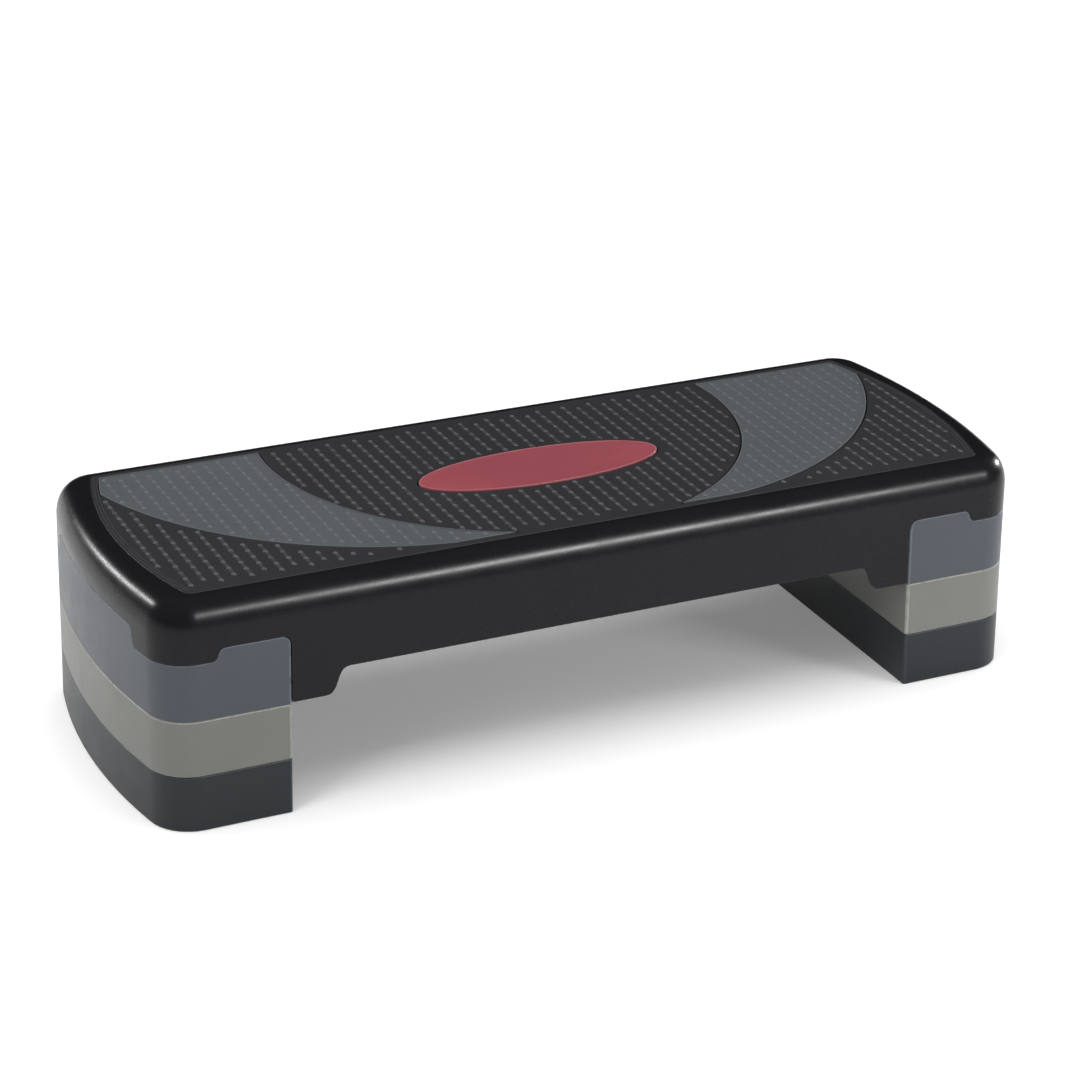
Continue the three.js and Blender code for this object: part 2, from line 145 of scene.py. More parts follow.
# ---- mesh tools ----
EDGE = 0.8  # soft break on moulded edges
LIP_EDGE = 1.3  # rounder upper lip of a stacked piece
FOOT_EDGE = 0.4  # and its lower rim
LIP_FACE = 1.0  # faces narrower than this are the rounds themselves
ROUND_ROOM = 2.5  # an edge is rounded where both its faces are this many rounds wide
SHARP = math.radians(32)


def new_object(name, verts, faces):
    mesh = bpy.data.meshes.new(name)
    mesh.from_pydata([(x * MM, y * MM, z * MM) for x, y, z in verts], [], faces)
    mesh.validate()
    mesh.update()
    obj = bpy.data.objects.new(name, mesh)
    bpy.context.scene.collection.objects.link(obj)
    return obj


def loft(name, rings):
    """A closed solid through rings of points, each ring one closed outline at one height."""
    count = len(rings[0][0])
    verts = [(x, y, z) for outline, z in rings for x, y in outline]
    faces = [tuple(reversed(range(count)))]
    for row in range(len(rings) - 1):
        low, high = row * count, (row + 1) * count
        for i in range(count):
            j = (i + 1) % count
            faces.append((low + i, low + j, high + j, high + i))
    last = (len(rings) - 1) * count
    faces.append(tuple(range(last, last + count)))
    return new_object(name, verts, faces)


def prism(name, outline, low, high):
    return loft(name, [(outline, low), (outline, high)])


def rounded(name, outline_at, low, high, low_edge=0.0, high_edge=0.0, inset=0.0, steps=4, drop=None):
    """A prism on outline_at(inset) with rounded edges; the upper round can fall further than it runs."""
    drop = high_edge if drop is None else drop
    turns = [k / steps * math.pi / 2 for k in range(steps + 1)]
    rings = []
    for turn in turns:
        outline = outline_at(inset + low_edge * (1 - math.sin(turn)))
        rings.append((outline, low + low_edge * (1 - math.cos(turn))))
    for turn in turns:
        outline = outline_at(inset + high_edge * (1 - math.cos(turn)))
        rings.append((outline, high - drop * (1 - math.sin(turn))))
    if not low_edge:
        rings = rings[steps:]
    if not high_edge:
        rings = rings[: len(rings) - steps]
    return loft(name, rings)


def box(name, x0, x1, y0, y1, z0, z1):
    return prism(name, [(x0, y0), (x1, y0), (x1, y1), (x0, y1)], z0, z1)


def circle_points(x, y, radius, sides):
    turns = [2 * math.pi * i / sides for i in range(sides)]
    return [(x + radius * math.cos(t), y + radius * math.sin(t)) for t in turns]


def rod(name, x, y, radius, low, high, sides=32):
    return prism(name, circle_points(x, y, radius, sides), low, high)


def turned_part(name, x, y, base, profile, sides):
    """A small round part with its axis upright, through a profile of (radius, height) points."""
    return loft(name, [(circle_points(x, y, radius, sides), base + z) for radius, z in profile])


def smooth(obj, angle):
    obj.data.shade_smooth()
    obj.data.set_sharp_from_angle(angle=angle)
    return obj


def across_y(name, profile, y0, y1):
    """A side profile of (x, z) points stretched from y0 to y1."""
    count = len(profile)
    verts = [(x, y0, z) for x, z in profile] + [(x, y1, z) for x, z in profile]
    faces = [tuple(range(count)), tuple(reversed(range(count, 2 * count)))]
    faces += [(i, i + count, (i + 1) % count + count, (i + 1) % count) for i in range(count)]
    return fix_facing(new_object(name, verts, faces))


def across_x(name, profile, x0, x1):
    """An end profile of (y, z) points stretched from x0 to x1."""
    count = len(profile)
    verts = [(x0, y, z) for y, z in profile] + [(x1, y, z) for y, z in profile]
    faces = [tuple(range(count)), tuple(reversed(range(count, 2 * count)))]
    faces += [(i, i + count, (i + 1) % count + count, (i + 1) % count) for i in range(count)]
    return fix_facing(new_object(name, verts, faces))


def volume(mesh):
    mesh.calc_loop_triangles()
    co = [v.co for v in mesh.vertices]
    return sum(co[a].cross(co[b]).dot(co[c]) for a, b, c in (t.vertices for t in mesh.loop_triangles)) / 6


def fix_facing(obj):
    if volume(obj.data) < 0:
        obj.data.flip_normals()
    return obj


def bake(obj):
    """Turns the object's modifiers into plain mesh."""
    graph = bpy.context.evaluated_depsgraph_get()
    graph.update()
    mesh = bpy.data.meshes.new_from_object(obj.evaluated_get(graph))
    obj.modifiers.clear()
    obj.data = mesh
    return obj


def combine(obj, tools, operation):
    for tool in tools:
        cut = obj.modifiers.new("shape", "BOOLEAN")
        cut.operation = operation
        cut.solver = "EXACT"
        cut.object = tool
        bake(obj)
        bpy.data.objects.remove(tool)
    return obj


def cut(obj, *tools):
    return combine(obj, tools, "DIFFERENCE")


def add(obj, *tools):
    return combine(obj, tools, "UNION")


def keep(obj, tool):
    return combine(obj, [tool], "INTERSECT")


def turned(name, obj):
    """A copy of the object for the other end."""
    copy = bpy.data.objects.new(name, obj.data.copy())
    copy.data.transform(Matrix.Rotation(math.pi, 4, "Z"))
    bpy.context.scene.collection.objects.link(copy)
    return copy


def weld(obj, gap=0.02):
    """Merges points that a boolean left almost on top of each other."""
    mesh = bmesh.new()
    mesh.from_mesh(obj.data)
    bmesh.ops.remove_doubles(mesh, verts=mesh.verts, dist=gap * MM)
    bmesh.ops.dissolve_degenerate(mesh, edges=mesh.edges, dist=gap * MM / 2)
    mesh.to_mesh(obj.data)
    mesh.free()


def mark_edges(obj, room):
    """Weights the sharp convex edges whose two faces are both wide enough to take a round."""
    mesh = bmesh.new()
    mesh.from_mesh(obj.data)
    weight = mesh.edges.layers.float.new("bevel_weight_edge")
    for edge in mesh.edges:
        if len(edge.link_faces) == 2 and edge.is_convex and edge.calc_face_angle(0) > SHARP:
            length = edge.calc_length()
            if all(face.calc_area() > room * MM * length for face in edge.link_faces):
                edge[weight] = 1.0
    mesh.to_mesh(obj.data)
    mesh.free()


def mark_lips(obj):
    """Stores which faces belong to a rounded edge, so that the finish can paint them paler, partly as
    abrasion and partly as painted highlight.
    """
    lip = obj.data.attributes.new("lip", "FLOAT", "FACE")
    points = obj.data.vertices
    for face in obj.data.polygons:
        longest = max((points[a].co - points[b].co).length for a, b in face.edge_keys)
        lip.data[face.index].value = 1.0 if face.area < LIP_FACE * MM * longest else 0.0


def soften(obj, width=EDGE, segments=3):
    """Breaks the sharp edges with a small round and shades the rest smooth."""
    weld(obj)
    mark_edges(obj, ROUND_ROOM * width)
    obj.data.shade_smooth()
    bevel = obj.modifiers.new("edges", "BEVEL")
    bevel.width = width * MM
    bevel.segments = segments
    bevel.limit_method = "WEIGHT"
    bevel.use_clamp_overlap = False
    bake(obj)
    weld(obj)
    obj.data.shade_smooth()
    obj.data.set_sharp_from_angle(angle=SHARP)
    weigh = obj.modifiers.new("normals", "WEIGHTED_NORMAL")
    weigh.mode = "FACE_AREA"
    weigh.weight = 50
    weigh.keep_sharp = True
    bake(obj)
    mark_lips(obj)
    return obj


# ---- outlines ----
END_CHORDS = 36
CORNER_CHORDS = 14


def arc(cx, cy, radius, start, end, chords):
    turns = [start + (end - start) * i / chords for i in range(chords + 1)]
    return [(cx + radius * math.cos(t), cy + radius * math.sin(t)) for t in turns]


def bezier(p0, p1, p2, p3, steps=TAB_STEPS):
    points = []
    for i in range(steps + 1):
        t = i / steps
        w = ((1 - t) ** 3, 3 * t * (1 - t) ** 2, 3 * t * t * (1 - t), t ** 3)
        points.append(tuple(sum(k * p[axis] for k, p in zip(w, (p0, p1, p2, p3))) for axis in (0, 1)))
    return points


def right_end(half_length, half_width, end_radius, corner_radius):
    """The bulging right-hand end with its two corners, from the front side to the back side."""
    corner_y = half_width - corner_radius
    reach = end_radius - corner_radius
    centre = half_length - end_radius
    corner_x = centre + math.sqrt(reach ** 2 - corner_y ** 2)
    angle = math.asin(corner_y / reach)
    quarter = math.pi / 2
    front = arc(corner_x, -corner_y, corner_radius, -quarter, -angle, CORNER_CHORDS)
    end = arc(centre, 0, end_radius, -angle, angle, END_CHORDS)
    back = arc(corner_x, corner_y, corner_radius, angle, quarter, CORNER_CHORDS)
    return front + end[1:] + back[1:]


def loaf(*sizes):
    right = right_end(*sizes)
    return right + [(-x, -y) for x, y in right]


def deck_outline(inset):
    return loaf(HALF_LENGTH - inset, HALF_WIDTH - inset, END_RADIUS - inset, CORNER_RADIUS - inset)


def field_outline(inset):
    corner = max(FIELD_CORNER - inset, FIELD_LEAST_CORNER)
    return loaf(FIELD_HALF_LENGTH - inset, FIELD_HALF_WIDTH - inset, FIELD_END_RADIUS - inset, corner)


def block_outline(inset):
    """The right-hand end stack in plan."""
    half = HALF_WIDTH - inset
    right = right_end(HALF_LENGTH - inset, half, END_RADIUS - inset, CORNER_RADIUS - inset)
    x = BLOCK_INNER + inset
    cut_back = half - BLOCK_CORNER
    inner = [(x + BLOCK_CORNER, half), (x, cut_back), (x, -cut_back), (x + BLOCK_CORNER, -half)]
    return right + inner


def oval_outline(inset, chords=128):
    turns = [2 * math.pi * i / chords for i in range(chords)]
    a, b = BADGE_HALF_LENGTH - inset, BADGE_HALF_WIDTH - inset
    return [(a * math.cos(t), b * math.sin(t)) for t in turns]


def lean(obj):
    """Mould draft: the end stacks narrow about their own middle as they rise, and the sides close in."""
    middle = (BLOCK_INNER + HALF_LENGTH) / 2
    for vertex in obj.data.vertices:
        x, y, z = (c / MM for c in vertex.co)
        size = abs(x)
        share = -size / BLOCK_INNER if size < BLOCK_INNER else (size - middle) / (HALF_LENGTH - middle)
        x -= math.copysign(DRAFT * z * share, x)
        y *= 1 - DRAFT * z / HALF_WIDTH
        vertex.co = (x * MM, y * MM, z * MM)
    return obj


# ---- risers and feet ----
def under_structure(base, ceiling):
    """Socket ring and cross ribs that hang from a horizontal web."""
    low = base + PAD_PROUD + RING_FOOT
    half = RIB / 2
    socket = block_outline(PLATEAU_INSET - SOCKET_GAP)
    ribs = [box("rib", BLOCK_INNER + PAST, HALF_LENGTH, y - half, y + half, low, ceiling) for y in RIB_ROWS]
    ribs.append(box("rib", RIB_COLUMN - half, RIB_COLUMN + half, -HALF_WIDTH, HALF_WIDTH, low, ceiling))
    ring = prism("ring", block_outline(SOCKET_INSET), low, ceiling)
    cut(ring, prism("core", socket, low - PAST, ceiling + PAST))
    add(ring, *ribs)
    keep(ring, prism("reach", block_outline(WALL / 2), low - SHORT_PAST, ceiling + SHORT_PAST))
    plateau_room = prism("room", socket, base - PAST, base + PLATEAU_HEIGHT + PLATEAU_CLEARANCE)
    return cut(ring, plateau_room)


def pad_details(obj, base, ceiling, top=None):
    """Bosses and sockets for the rubber pads underneath, and shallow wells for the next ones on top."""
    boss_low = base + PAD_PROUD + RING_FOOT
    add(obj, *[rod("boss", x, y, PAD_BOSS, boss_low, ceiling) for x, y in PAD_PLACES])
    cut(obj, *[rod("socket", x, y, PAD_SOCKET, base - PAST, base + PAD_HEIGHT + SEAM) for x, y in PAD_PLACES])
    if top:
        cut(obj, *[rod("well", x, y, PAD_WELL, top - PAD_PROUD, top + PAST) for x, y in PAD_PLACES])
    return obj


def riser(name, base):
    top = base + LEVEL + SEAM
    ceiling = top - PLATE
    plateau_top = top + PLATEAU_HEIGHT
    body = rounded(name, block_outline, base + PAD_PROUD, top, FOOT_EDGE, LIP_EDGE)
    add(body, rounded("plateau", block_outline, ceiling, plateau_top, 0, PLATEAU_EDGE, PLATEAU_INSET))
    plateau_inside = block_outline(PLATEAU_INSET + WALL)
    cut(body, prism("hollow", block_outline(WALL), base - PAST, ceiling))
    cut(body, prism("hollow", plateau_inside, ceiling - PAST, plateau_top - PLATE))
    ribs = under_structure(base, ceiling + PAST)
    cut(ribs, prism("clear", plateau_inside, ceiling, top + PAST))
    add(body, ribs)
    lean(body)
    return pad_details(body, base, ceiling + PAST, top)


def tab_fall(end, top):
    """The S-shaped side of a tab, from its top down to the foot's shoulder."""
    return bezier((end - TAB_SLOPE, top), (end + TAB_PULL, top),
                  (end - TAB_PULL, SHOULDER_Z), (end + TAB_SLOPE, SHOULDER_Z))


def side_tab(start, end, top):
    """Side view of a tab: a vertical side at start, a flat top and an S-shaped fall at end."""
    quarter = math.pi / 2
    centre = (start + SIDE_TAB_RADIUS, top - SIDE_TAB_RADIUS)
    crown = arc(*centre, SIDE_TAB_RADIUS, 2 * quarter, quarter, TAB_STEPS)
    return [(start, 0)] + crown + tab_fall(end, top) + [(end + TAB_SLOPE, 0)]


def end_tab(half, top):
    """End view of the raised tab, symmetrical about the middle."""
    fall = tab_fall(half, top)
    rise = [(-y, z) for y, z in reversed(fall)]
    return [(-half - TAB_SLOPE, 0)] + rise + fall + [(half + TAB_SLOPE, 0)]


def foot_zone(grow):
    """All of the end block that belongs to the foot: up to its shoulder, and higher at its tabs."""
    start = BLOCK_INNER - grow
    profile = side_tab(start, SIDE_TAB_END + grow, SIDE_TAB_Z + grow)
    tab_y = HALF_WIDTH - SIDE_TAB_DEPTH
    zone = box("zone", start, FAR, -FAR, FAR, 0, SHOULDER_Z + grow)
    front = across_y("tab", profile, -FAR, -tab_y)
    back = across_y("tab", profile, tab_y, FAR)
    end = across_x("tab", end_tab(END_TAB_HALF + grow, END_TAB_Z + grow), END_TAB_START, FAR)
    return add(zone, front, back, end)


def foot_lip(high):
    """Tongue that stands up inside the platform's skirt."""
    outer = WALL + LIP_GAP
    lip = prism("lip", block_outline(outer), WEB_Z, high)
    cut(lip, prism("core", block_outline(outer + LIP_THICK), WEB_Z - PAST, high + PAST))
    keep(lip, foot_zone(LIP_RISE))
    return cut(lip, box("inner", -FAR, BLOCK_INNER + 2 * WALL, -FAR, FAR, SHOULDER_Z, FAR))


def end_foot(name):
    high = END_TAB_Z + LIP_RISE + PAST
    body = rounded(name, block_outline, FOOT_BASE + PAD_PROUD, high, FOOT_EDGE, 0)
    cut(body, prism("hollow", block_outline(WALL), FOOT_BASE - PAST, high + PAST))
    keep(body, foot_zone(0))
    web = prism("web", block_outline(WALL / 2), WEB_Z, WEB_Z + PLATE)
    add(body, foot_lip(high), web, under_structure(FOOT_BASE, WEB_Z + PAST))
    lean(body)
    pad_details(body, FOOT_BASE, WEB_Z + PAST)
    low, top = WEB_Z - PAST, WEB_Z + PLATE + PAST
    return cut(body, *[rod("hole", x, y, SCREW_HOLE, low, top) for x, y in SCREW_PLACES])


# ---- platform ----
def arch_profile():
    right = bezier((ARCH_TOP_X, ARCH_Z), (ARCH_TOP_X + ARCH_PULL, ARCH_Z),
                   (ARCH_FOOT_X - ARCH_PULL, SKIRT_BASE), (ARCH_FOOT_X, SKIRT_BASE))
    left = [(-x, z) for x, z in reversed(right)]
    return [(-ARCH_FOOT_X, 0)] + left + right + [(ARCH_FOOT_X, 0)]


def deck_loaf(name, inset, top, low):
    """The platform's outer form at an inset, with a rounded upper edge."""
    width, drop = RIM_WIDTH - inset, RIM_DROP - inset
    return rounded(name, deck_outline, low, top, 0, width, inset, steps=RIM_STEPS, drop=drop)


def deck_ribs():
    lattice = box("bulkhead", BULKHEAD_X, BULKHEAD_X + WALL, -FAR, FAR, SKIRT_BASE, FAR)
    add(lattice, box("bulkhead", -BULKHEAD_X - WALL, -BULKHEAD_X, -FAR, FAR, SKIRT_BASE, FAR))
    half = RIB / 2
    for x in DECK_RIB_COLUMNS:
        add(lattice, box("rib", x - half, x + half, -FAR, FAR, RIB_LOW_Z, FAR))
    for y in DECK_RIB_ROWS:
        add(lattice, box("rib", -BULKHEAD_X, BULKHEAD_X, y - half, y + half, RIB_LOW_Z, FAR))
        add(lattice, box("rib", -FAR, FAR, y - half, y + half, END_RIB_LOW_Z, FAR))
    return keep(lattice, deck_loaf("reach", WALL / 2, CEILING_Z + PAST, SKIRT_BASE))


def deck_shell(name):
    body = deck_loaf(name, 0, DECK_RIM_Z, SKIRT_BASE)
    cut(body, deck_loaf("hollow", WALL, CEILING_Z, SKIRT_BASE - HOLLOW_PAST))
    add(body, deck_ribs())
    zone = foot_zone(SEAM)
    cut(body, turned("zone_left", zone), zone)
    cut(body, across_y("arch", arch_profile(), -FAR, FAR))
    lean(body)
    cut(body, prism("field", field_outline(-SEAM), FIELD_FLOOR_Z, DECK_RIM_Z + PAST))
    for x, y in SCREW_PLACES:
        for side in (1, -1):
            add(body, rod("post", side * x, side * y, SCREW_POST, WEB_Z + PLATE + SEAM, CEILING_Z + PAST))
            cut(body, rod("bore", side * x, side * y, SCREW_HOLE, WEB_Z, SCREW_BORE_TOP))
    return body


# ---- tread field ----
ROW_PITCH = 13
BEAD_PITCH = 13
BEAD_HALF_WIDTH = 2.3
BEAD_HALF_LENGTH = 3.3
BEAD_HEIGHT = 0.8
BEAD_SIDES = 12
BEAD_SINK = 0.15
RIDGE_HALF_WIDTH = 2.4
RIDGE_HEIGHT = 0.32
BORDER_WIDTH = 1.3
BORDER_RISE = 0.5
GROOVE = 1.3  # dark gap around an inlay
CURB_INSETS = (2.4, 5.2)  # two fine raised lines along each end of the mat
CURB_WIDTH = 0.9
CURB_REACH = math.radians(17.5)
CURB_RISE = 0.3
CURB_EDGE = 0.2
MAT_RIM = 0.5  # the mat's outer edge is rounded this much
MAT_EDGE = 0.3  # and its edges round the inlays
CRESCENT_EDGE = 0.25
RIDGE_START = BEAD_HALF_LENGTH * 0.8  # from a bead's middle
RIDGE_LONGEST = 1.5 * BEAD_PITCH  # none across a gap in a row
BEAD_SHARP = math.radians(50)
BEAD_LEVELS = ((1.0, -BEAD_SINK), (1.0, 0.12), (0.82, 0.62), (0.45, 0.93))  # shares of its width and height
RIDGE_TOP_SHARE = 0.55  # of its foot's width
ARC_CHORDS = 48  # on a curb
CRESCENT_SIDES = 360  # on a crescent's full circles
MAT_EDGE_ROOM = 9  # between the field's edge and the nearest bead
MAT_INLAY_ROOM = 4.2  # and round the crescents
MAT_BADGE_ROOM = 4.5  # and round the oval
CRESCENT_ROOM = 3.8  # between a crescent's own edge and its beads


def disc(name, circle, side, grow, low, high):
    x, y, radius = circle
    return rod(name, side * x, y, radius + grow, low, high, sides=CRESCENT_SIDES)


def crescent_zone(name, side, grow, low, high):
    """Region of one crescent, between two circles and inside the tread field's border."""
    zone = disc(name, CRESCENT_OUTER, side, grow, low, high)
    cut(zone, disc("inner", CRESCENT_INNER, side, -grow, low - PAST, high + PAST))
    keep(zone, prism("field", field_outline(CRESCENT_BORDER - grow), low - SHORT_PAST, high + SHORT_PAST))
    x0, x1 = (-FAR, 0) if side > 0 else (0, FAR)
    return cut(zone, box("half", x0, x1, -FAR, FAR, low - PAST, high + PAST))


def in_circle(x, y, circle, side, grow):
    return math.hypot(x - side * circle[0], y - circle[1]) < circle[2] + grow


def in_field(x, y, margin):
    end = FIELD_HALF_LENGTH - FIELD_END_RADIUS + math.sqrt((FIELD_END_RADIUS - margin) ** 2 - y * y)
    return abs(y) < FIELD_HALF_WIDTH - margin and abs(x) < end


def in_crescent(x, y, side, margin):
    in_outer = in_circle(x, y, CRESCENT_OUTER, side, -margin)
    in_inner = in_circle(x, y, CRESCENT_INNER, side, margin)
    return side * x > 0 and in_outer and not in_inner and in_field(x, y, CRESCENT_BORDER + margin)


def in_oval(x, y, grow):
    return (x / (BADGE_HALF_LENGTH + grow)) ** 2 + (y / (BADGE_HALF_WIDTH + grow)) ** 2 < 1


def on_mat(x, y):
    near = any(in_crescent(x, y, side, -MAT_INLAY_ROOM) for side in (-1, 1))
    return in_field(x, y, MAT_EDGE_ROOM) and not near and not in_oval(x, y, MAT_BADGE_ROOM)


def bead_rows(inside):
    """Places of the beads inside a region, row by row; every other row is shifted by half a pitch."""
    columns = int(FIELD_HALF_LENGTH / ROW_PITCH)
    reach = int(FIELD_HALF_WIDTH / BEAD_PITCH)
    rows = []
    for i in range(-columns, columns + 1):
        shift = (i % 2) / 2
        places = [(i * ROW_PITCH, (j + shift) * BEAD_PITCH) for j in range(-reach - 1, reach + 1)]
        rows.append([place for place in places if inside(*place)])
    return rows


def bead(x, y, base, verts, faces):
    """A low oval bead, its foot sunk a little into the mat."""
    start = len(verts)
    for scale, height in BEAD_LEVELS:
        for k in range(BEAD_SIDES):
            turn = 2 * math.pi * k / BEAD_SIDES
            verts.append((x + BEAD_HALF_WIDTH * scale * math.cos(turn),
                          y + BEAD_HALF_LENGTH * scale * math.sin(turn), base + BEAD_HEIGHT * height))
    verts.append((x, y, base + BEAD_HEIGHT))
    crown = len(verts) - 1
    faces.append(tuple(start + k for k in reversed(range(BEAD_SIDES))))
    for level in range(len(BEAD_LEVELS) - 1):
        low, high = start + level * BEAD_SIDES, start + (level + 1) * BEAD_SIDES
        for k in range(BEAD_SIDES):
            n = (k + 1) % BEAD_SIDES
            faces.append((low + k, low + n, high + n, high + k))
    top = start + (len(BEAD_LEVELS) - 1) * BEAD_SIDES
    for k in range(BEAD_SIDES):
        faces.append((top + k, top + (k + 1) % BEAD_SIDES, crown))


def ridge(x, y0, y1, base, verts, faces):
    """A thin raised line that joins two beads."""
    start = len(verts)
    top = RIDGE_HALF_WIDTH * RIDGE_TOP_SHARE
    section = ((-RIDGE_HALF_WIDTH, -BEAD_SINK), (RIDGE_HALF_WIDTH, -BEAD_SINK),
               (top, RIDGE_HEIGHT), (-top, RIDGE_HEIGHT))
    for y in (y0, y1):
        verts += [(x + dx, y, base + dz) for dx, dz in section]
    faces += [tuple(start + k for k in (0, 1, 2, 3)), tuple(start + 4 + k for k in (3, 2, 1, 0))]
    faces += [(start + (k + 1) % 4, start + k, start + 4 + k, start + 4 + (k + 1) % 4) for k in range(4)]


def tread_texture(name, inside, base):
    """Rows of beads joined by ridges, over a region."""
    verts, faces = [], []
    for row in bead_rows(inside):
        for x, y in row:
            bead(x, y, base, verts, faces)
        for (x, y0), (_, y1) in zip(row, row[1:]):
            if y1 - y0 < RIDGE_LONGEST:
                ridge(x, y0 + RIDGE_START, y1 - RIDGE_START, base, verts, faces)
    return smooth(new_object(name, verts, faces), BEAD_SHARP)


def merge(obj, other):
    """Adds the other object's mesh to this one, as separate shells."""
    with bpy.context.temp_override(active_object=obj, selected_editable_objects=[obj, other]):
        bpy.ops.object.join()
    return obj


def curb(inset, side):
    """A fine raised line along the mat's bulging end."""
    centre = side * (FIELD_HALF_LENGTH - FIELD_END_RADIUS)
    middle = 0 if side > 0 else math.pi
    span = (middle - CURB_REACH, middle + CURB_REACH)
    outer = arc(centre, 0, FIELD_END_RADIUS - inset, *span, ARC_CHORDS)
    inner = arc(centre, 0, FIELD_END_RADIUS - inset - CURB_WIDTH, *span, ARC_CHORDS)
    line = prism("curb", outer + inner[::-1], MAT_TOP_Z - BEAD_SINK, MAT_TOP_Z + CURB_RISE)
    return soften(fix_facing(line), CURB_EDGE, 2)


def tread_mat(name):
    low, high = TREAD_LOW - PAST, MAT_TOP_Z + 2 * PAST
    body = rounded(name, field_outline, TREAD_LOW, MAT_TOP_Z, 0, MAT_RIM)
    cut(body, prism("oval", oval_outline(-GROOVE), low, high))
    for side in (-1, 1):
        cut(body, crescent_zone("gap", side, GROOVE, low, high))
    soften(body, MAT_EDGE, 2)
    for side in (-1, 1):
        for inset in CURB_INSETS:
            merge(body, curb(inset, side))
    return merge(body, tread_texture("beads", on_mat, MAT_TOP_Z))


def tread_crescent(name, side):
    body = crescent_zone(name, side, 0, TREAD_LOW, CRESCENT_TOP_Z + BORDER_RISE)
    cut(body, crescent_zone("inner", side, -BORDER_WIDTH, CRESCENT_TOP_Z, CRESCENT_TOP_Z + 2 * PAST))
    soften(body, CRESCENT_EDGE, 2)
    texture = tread_texture("beads", lambda x, y: in_crescent(x, y, side, CRESCENT_ROOM), CRESCENT_TOP_Z)
    return merge(body, texture)


# How far in from the oval's edge, and how far below its rim
BADGE_PROFILE = ((0, 0.7), (0.15, 0.35), (0.45, 0.1), (0.9, 0), (1.4, 0.05), (1.8, 0.2), (2.1, 0.45),
                 (2.8, 0.5), (8, 0.38), (16, 0.26), (25, 0.2), (34, 0.17))
BADGE_SHARP = math.radians(60)


def badge(name):
    """The oval: a rounded raised rim around a slightly crowned face."""
    rings = [(oval_outline(0), TREAD_LOW)]
    rings += [(oval_outline(inset), BADGE_TOP_Z - drop) for inset, drop in BADGE_PROFILE]
    return smooth(loft(name, rings), BADGE_SHARP)


def pad(name, x, y, base):
    return smooth(turned_part(name, x, y, base, PAD_PROFILE, PAD_SIDES), SHARP)


def screw(name, x, y):
    """A pan-head screw with a cross recess, head down."""
    head = WEB_Z - SEAM - SCREW_HEAD_HEIGHT
    body = turned_part(name, x, y, head, SCREW_PROFILE, SCREW_SIDES)
    for width, depth in ((CROSS_LONG, CROSS_SHORT), (CROSS_SHORT, CROSS_LONG)):
        cut(body, box("slot", x - width, x + width, y - depth, y + depth, head - PAST, head + CROSS_DEPTH))
    return smooth(body, SHARP)


# ---- materials ----
def shader(name):
    material = bpy.data.materials.new(name)
    material.use_nodes = True
    nodes, links = material.node_tree.nodes, material.node_tree.links
    return material, nodes, links, nodes["Principled BSDF"]


def noise(nodes, links, scale, detail=3, rough=0.5):
    place = nodes.new("ShaderNodeTexCoord")
    node = nodes.new("ShaderNodeTexNoise")
    node.inputs["Scale"].default_value = scale
    node.inputs["Detail"].default_value = detail
    node.inputs["Roughness"].default_value = rough
    links.new(place.outputs["Object"], node.inputs["Vector"])
    return node.outputs["Fac"]


def ramp(nodes, links, source, stops):
    """Grey values between two stops of (position, value)."""
    node = nodes.new("ShaderNodeValToRGB")
    for element, (position, value) in zip(node.color_ramp.elements, stops):
        element.position = position
        element.color = (value, value, value, 1)
    links.new(source, node.inputs["Fac"])
    return node.outputs["Color"]


def blend_colors(nodes, links, factor, a, b):
    node = nodes.new("ShaderNodeMix")
    node.data_type = "RGBA"
    links.new(factor, node.inputs["Factor"])
    for socket, value in ((node.inputs[6], a), (node.inputs[7], b)):
        if isinstance(value, tuple):
            socket.default_value = (*value, 1)
        else:
            links.new(value, socket)
    return node.outputs[2]


def band(nodes, links, source, low, high):
    """0 below low, 1 above high, smooth between."""
    node = nodes.new("ShaderNodeMapRange")
    node.interpolation_type = "SMOOTHSTEP"
    node.inputs["From Min"].default_value = low
    node.inputs["From Max"].default_value = high
    links.new(source, node.inputs["Value"])
    return node.outputs["Result"]


def math_node(nodes, links, operation, a, b):
    node = nodes.new("ShaderNodeMath")
    node.operation = operation
    for socket, value in zip(node.inputs, (a, b)):
        if isinstance(value, (int, float)):
            socket.default_value = value
        else:
            links.new(value, socket)
    return node.outputs[0]


def lip_mask(nodes, links):
    """1 on the rounded edges."""
    stored = nodes.new("ShaderNodeAttribute")
    stored.attribute_name = "lip"
    return stored.outputs["Fac"]


def above_height(nodes, links, low, high):
    """1 on what stands higher than a height, such as the tops of beads."""
    place = nodes.new("ShaderNodeTexCoord")
    split = nodes.new("ShaderNodeSeparateXYZ")
    links.new(place.outputs["Object"], split.inputs["Vector"])
    return band(nodes, links, split.outputs["Z"], low * MM, high * MM)


